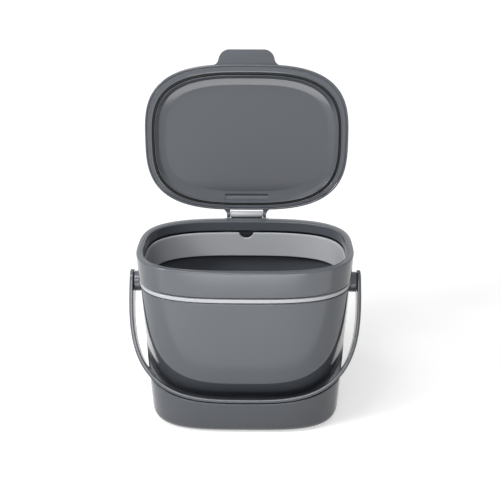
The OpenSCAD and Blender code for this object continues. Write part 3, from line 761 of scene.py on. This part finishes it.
def build_liner():
    """Lip beside the seal, steep wall, slope and slightly crowned panel, less the pocket near the hinge."""
    low, panel = LID_BOTTOM, LID_BOTTOM + DISH
    edge = SEAL_W + LINER_GAP
    start = edge + LINER_EDGE + LINER_WALL_INWARD
    foot = low + LINER_WALL_FROM + LINER_WALL_RISE
    rings = [groove_ring(panel + LINER_BACK_RISE, edge + inward) for inward in LINER_BACK_INWARD]
    rings.append(groove_ring(low + LINER_SIDE_RISE, edge))
    rings += [groove_ring(low + rise, edge + inward) for rise, inward in LINER_LIP]
    for share in np.linspace(0, 1, LINER_WALL_STEPS):
        rise = LINER_WALL_FROM + LINER_WALL_RISE * share
        rings.append(groove_ring(low + rise, start + LINER_WALL_RUN * share))
    for share in np.linspace(LINER_SLOPE_FROM, 1, LINER_SLOPE_STEPS):
        ease = LINER_SLOPE_EASE * share * (2 - share) + (1 - LINER_SLOPE_EASE) * share
        inward = start + LINER_WALL_RUN + LINER_SLOPE_RUN * share
        rings.append(groove_ring(foot + (panel - foot) * ease, inward))
    inner = start + LINER_WALL_RUN + LINER_SLOPE_RUN
    for share in np.concatenate([[PANEL_FIRST], np.linspace(PANEL_FROM, 1, PANEL_STEPS)]):
        scale = 1 - share
        half_x = max((RIM_X - GROOVE_SIDE - inner) * scale, PANEL_LEAST_X)
        half_y = max((RIM_Y - GROOVE_ENDS - inner) * scale, PANEL_LEAST_Y)
        z = panel - PANEL_CROWN * (1 - scale**2)
        rings.append(ring(half_x, half_y, RIM_N - PANEL_ROUNDER * share, z, -GROOVE_BACK * scale))
    obj = sweep("lid_liner_skin", rings, place=lid_place)
    scoop = [
        (POCKET_FRONT, low - POCKET_BEYOND),
        (POCKET_FRONT, panel + POCKET_FRONT_DEPTH),
        (POCKET_BACK, panel + POCKET_BACK_DEPTH),
        (POCKET_LIP, low + POCKET_LIP_RISE),
        (POCKET_LIP, low - POCKET_BEYOND),
    ]
    rows = [np.array([(x, y, z) for y, z in scoop]) for x in (-POCKET_X, POCKET_X)]
    cut_with(obj, sweep("tool", rows, place=lid_place))
    smooth_by_angle(obj, degrees=32)
    return obj


def build_gate_mark():
    """The small round mould mark in the middle of the liner."""
    t = np.linspace(0, 2 * np.pi, GATE_POINTS, endpoint=False)
    circle = np.column_stack([GATE_PLACE[0] + GATE_R * np.cos(t), GATE_PLACE[1] + GATE_R * np.sin(t)])
    panel = LID_BOTTOM + DISH
    return plate("liner_gate_mark", circle, panel - GATE_OUT, panel + GATE_SUNK, GATE_SOFT)


def build_seal():
    half = SEAL_W / 2 - SEAL_CLEAR
    rings = []
    for angle in np.linspace(0, 2 * np.pi, SEAL_POINTS, endpoint=False):
        rise = math.sin(angle)
        z = LID_BOTTOM + SEAL_MIDDLE - (SEAL_DOWN if rise > 0 else SEAL_UP) * rise
        rings.append(groove_ring(z, SEAL_W / 2 - half * math.cos(angle)))
    return sweep("lid_seal_ring", rings, closed=True, place=lid_place)


# ---------------------------------------------------------------- bail and pivot pins


def bail_path():
    """The strip's middle line from eye to eye: x, reach, outward direction and half width at each step."""
    half_w, half_t = STRIP_W / 2, STRIP_T / 2
    half_x, length_r = BAIL_X - half_t, BAIL_REACH - half_t
    t = np.linspace(0, np.pi, BAIL_SAMPLES)
    x = half_x * np.sign(np.cos(t)) * np.abs(np.cos(t)) ** (2 / BAIL_N)
    r = length_r * np.clip(np.sin(t), 0, None) ** (2 / BAIL_N)
    length = np.concatenate([[0], np.cumsum(np.hypot(np.diff(x), np.diff(r)))])
    at = np.linspace(0, length[-1], BAIL_STEPS)
    x, r = np.interp(at, length, x), np.interp(at, length, r)
    eye = np.sin(np.linspace(0, np.pi / 2, EYE_STEPS + 1)[1:]) * half_w
    eye_w = np.sqrt(np.maximum(half_w**2 - eye**2, EYE_LEAST_SQUARE))
    x = np.concatenate([np.full(EYE_STEPS, half_x), x, np.full(EYE_STEPS, -half_x)])
    r = np.concatenate([-eye[::-1], r, -eye])
    wide = np.concatenate([eye_w[::-1], np.full(BAIL_STEPS, half_w), eye_w])
    along_x, along_r = np.gradient(x), np.gradient(r)
    size = np.hypot(along_x, along_r)
    out_x, out_r = along_r / size, -along_x / size
    flip = np.where(out_x * x + out_r * r < 0, -1, 1)
    end = EYE_STEPS + 1
    flip[:end] = np.where(out_x[:end] > 0, 1, -1)
    flip[-end:] = np.where(out_x[-end:] < 0, 1, -1)
    return x, r, out_x * flip, out_r * flip, wide


def build_bail():
    """The strip: a soft-edged section carried down one arm, round the grip and up the other arm."""
    section = []
    for side_t, side_w, start in STRIP_CORNERS:
        for u, v in arc(1, start, start + 90, STRIP_CORNER_STEPS):
            section.append((side_t, side_w, u, v))
    rings = []
    for x, r, out_x, out_r, half_w in zip(*bail_path()):
        soft = min(STRIP_SOFT, half_w * STRIP_SOFT_SHARE)
        points = []
        for side_t, side_w, u, v in section:
            out = side_t * (STRIP_T / 2 - soft) + soft * u
            across = side_w * (half_w - soft) + soft * v
            points.append((x + out_x * out, r + out_r * out, across))
        rings.append(np.array(points))
    obj = sweep("bail_strip", rings, place=bail_place)
    profile = [(0, EYE_RECESS_R), (EYE_TOOL_LENGTH, EYE_RECESS_R)]
    for side in (-1, 1):
        cut_with(obj, lathe("tool", profile, (side * (BAIL_X - EYE_RECESS_DEPTH), 0, PIVOT_Z), side))
    smooth_by_angle(obj, degrees=35)
    return obj


def build_pin(side):
    """A pivot pin with a low round head and a shallow dimple in it."""
    length = BAIL_X - PIN_SUNK - PIN_HEAD_T - PIN_START
    profile = list(PIN_TIP) + [(length + along, radius) for along, radius in PIN_HEAD]
    name = "pivot_pin_right" if side > 0 else "pivot_pin_left"
    obj = lathe(name, profile, (side * PIN_START, 0, PIVOT_Z), side)
    smooth_by_angle(obj, degrees=30)
    return obj


# ---------------------------------------------------------------- materials


def plastic(name, color, rough):
    """A glossy moulded material with a fine grain."""
    mat = bpy.data.materials.new(name)
    mat.use_nodes = True
    nodes, links = mat.node_tree.nodes, mat.node_tree.links
    shader = nodes["Principled BSDF"]
    shader.inputs["Base Color"].default_value = (*color, 1)
    shader.inputs["Roughness"].default_value = rough
    place = nodes.new("ShaderNodeTexCoord")
    noise = nodes.new("ShaderNodeTexNoise")
    noise.inputs["Scale"].default_value = GRAIN_SCALE
    noise.inputs["Detail"].default_value = GRAIN_DETAIL
    relief = nodes.new("ShaderNodeBump")
    relief.inputs["Strength"].default_value = GRAIN_STRENGTH
    relief.inputs["Distance"].default_value = GRAIN_DEPTH
    links.new(place.outputs["Object"], noise.inputs["Vector"])
    links.new(noise.outputs["Fac"], relief.inputs["Height"])
    links.new(relief.outputs["Normal"], shader.inputs["Normal"])
    return mat


def dress(obj, mat):
    obj.data.materials.clear()
    obj.data.materials.append(mat)


def add(obj, body, mat, replaced=None):
    """Puts a finished piece on its body, in place of a CAD node if one is named."""
    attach(obj, body)
    if replaced:
        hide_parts(replaced)
    dress(obj, mat)


# ---------------------------------------------------------------- floor, world and lamps


def seen_directly(nodes, links):
    """1 for camera, glossy and transmission rays, 0 for the rays that light the object."""
    path = nodes.new("ShaderNodeLightPath")
    total = path.outputs["Is Camera Ray"]
    for ray in ("Is Glossy Ray", "Is Transmission Ray"):
        either = nodes.new("ShaderNodeMath")
        either.operation = "MAXIMUM"
        links.new(total, either.inputs[0])
        links.new(path.outputs[ray], either.inputs[1])
        total = either.outputs[0]
    return total


def remap(nodes, links, value, start, end, low, high):
    """Turns a value that runs from start to end into one that runs from low to high."""
    node = nodes.new("ShaderNodeMapRange")
    node.inputs["From Min"].default_value = start
    node.inputs["From Max"].default_value = end
    node.inputs["To Min"].default_value = low
    node.inputs["To Max"].default_value = high
    links.new(value, node.inputs["Value"])
    return node.outputs["Result"]


def floor_material():
    """A white floor that keeps the object's shadow and throws little light back up."""
    mat = bpy.data.materials.new("floor_white")
    mat.use_nodes = True
    nodes, links = mat.node_tree.nodes, mat.node_tree.links
    nodes.remove(nodes["Principled BSDF"])
    direct = seen_directly(nodes, links)
    shade = nodes.new("ShaderNodeMix")
    shade.data_type = "RGBA"
    shade.inputs[MIX_COLOR_A].default_value = (*[FLOOR_BOUNCE] * 3, 1)
    shade.inputs[MIX_COLOR_B].default_value = (*[FLOOR_WHITE] * 3, 1)
    links.new(direct, shade.inputs["Factor"])
    matt = nodes.new("ShaderNodeBsdfDiffuse")
    links.new(shade.outputs[MIX_COLOR_OUT], matt.inputs["Color"])
    place = nodes.new("ShaderNodeNewGeometry")
    away = nodes.new("ShaderNodeVectorMath")
    away.operation = "LENGTH"
    links.new(place.outputs["Position"], away.inputs[0])
    amount = nodes.new("ShaderNodeMath")
    amount.operation = "MULTIPLY"
    links.new(direct, amount.inputs[0])
    far = remap(nodes, links, away.outputs["Value"], GLOW_FROM, GLOW_TO, GLOW_NEAR, GLOW_FAR)
    links.new(far, amount.inputs[1])
    glow = nodes.new("ShaderNodeEmission")
    glow.inputs["Color"].default_value = WHITE
    links.new(amount.outputs[0], glow.inputs["Strength"])
    both = nodes.new("ShaderNodeAddShader")
    links.new(matt.outputs[0], both.inputs[0])
    links.new(glow.outputs[0], both.inputs[1])
    links.new(both.outputs[0], nodes["Material Output"].inputs["Surface"])
    return mat


def build_floor():
    bpy.ops.mesh.primitive_plane_add(size=FLOOR_SIZE, location=(0, 0, 0))
    floor = bpy.context.object
    floor.name = "studio_floor"
    floor.data.materials.append(floor_material())


def build_world():
    """White wherever it is seen directly, and a dimmer light on the object, dimmest from the sides."""
    world = bpy.data.worlds.new("studio")
    world.use_nodes = True
    nodes, links = world.node_tree.nodes, world.node_tree.links
    direct = seen_directly(nodes, links)
    where = nodes.new("ShaderNodeTexCoord")
    axes = nodes.new("ShaderNodeSeparateXYZ")
    links.new(where.outputs["Generated"], axes.inputs[0])
    sideways = nodes.new("ShaderNodeMath")
    sideways.operation = "ABSOLUTE"
    links.new(axes.outputs["X"], sideways.inputs[0])
    shaded = nodes.new("ShaderNodeMath")
    shaded.operation = "MULTIPLY"
    shaded.inputs[0].default_value = WORLD_LIGHT
    flag = remap(nodes, links, sideways.outputs[0], SIDE_FROM, SIDE_TO, 1.0, SIDE_LIGHT)
    links.new(flag, shaded.inputs[1])
    level = nodes.new("ShaderNodeMix")
    level.data_type = "FLOAT"
    level.inputs[MIX_FLOAT_B].default_value = 1.0
    links.new(direct, level.inputs["Factor"])
    links.new(shaded.outputs[0], level.inputs[MIX_FLOAT_A])
    back = nodes["Background"]
    back.inputs["Color"].default_value = WHITE
    links.new(level.outputs[0], back.inputs["Strength"])
    bpy.context.scene.world = world


def build_lamp(name, place, aim, width, height, power):
    """A soft box that lights the object and stays out of the picture."""
    light = bpy.data.lights.new(name, "AREA")
    light.shape = "RECTANGLE"
    light.size = width
    light.size_y = height
    light.energy = power
    obj = bpy.data.objects.new(name, light)
    obj.location = place
    obj.rotation_euler = (Vector(aim) - Vector(place)).to_track_quat("-Z", "Y").to_euler()
    obj.visible_camera = False
    bpy.context.scene.collection.objects.link(obj)


def build_camera():
    data = bpy.data.cameras.new("photo_camera")
    data.sensor_width = SENSOR
    data.lens = FOCAL_PX / FRAME_PX * SENSOR
    camera = bpy.data.objects.new("photo_camera", data)
    camera.location = [v * MM for v in CAMERA_PLACE]
    camera.rotation_euler = (math.radians(CAMERA_PITCH), 0, math.radians(CAMERA_YAW))
    bpy.context.scene.collection.objects.link(camera)
    bpy.context.scene.camera = camera


# ---------------------------------------------------------------- the whole scene

DARK = plastic("dark_plastic", color=(0.1, 0.109, 0.125), rough=0.13)
LIGHT = plastic("light_plastic", color=(0.51, 0.525, 0.55), rough=0.3)
# Black rubber seal, its colour darkened past that of black rubber as painted shade for the shadowed groove it
# sits in.
SEAL_BLACK_AND_SHADE = plastic("seal_rubber", color=(0.003, 0.003, 0.0035), rough=0.5)
STEEL = plastic("pin_steel", color=(0.5, 0.5, 0.51), rough=0.3)

bucket = solid_skin("bucket_shell", bucket_depth, BUCKET_LOW, BUCKET_HIGH, BUCKET_STEP)
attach(bucket, "base")
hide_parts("bucket")
dress(bucket, DARK)
add(build_collar(), "collar", DARK, "collar")
add(build_seat(), "collar", DARK)
add(build_saddle(), "collar", DARK)
add(build_barrel(), "collar", LIGHT, "hinge_barrel")
add(build_ring(), "ring", LIGHT, "bag_ring")
add(build_lid_shell(), "lid", DARK, "lid_shell")
add(build_tab(), "lid", DARK)
for side in (-1, 1):
    add(build_ear(side), "lid", DARK)
add(build_liner(), "lid", DARK, "lid_liner")
add(build_gate_mark(), "lid", DARK)
add(build_seal(), "lid", SEAL_BLACK_AND_SHADE, "lid_seal")
add(build_bail(), "bail", DARK, "bail")
add(build_pin(-1), "base", DARK)
add(build_pin(1), "base", DARK, "pivot_pins")
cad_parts["hinge_pin"].data.materials.clear()
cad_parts["hinge_pin"].data.materials.append(STEEL)

build_floor()
build_world()
for lamp in LAMPS:
    build_lamp(*lamp)
build_camera()
bpy.context.scene.view_settings.view_transform = "Standard"

bpy.context.view_layer.update()
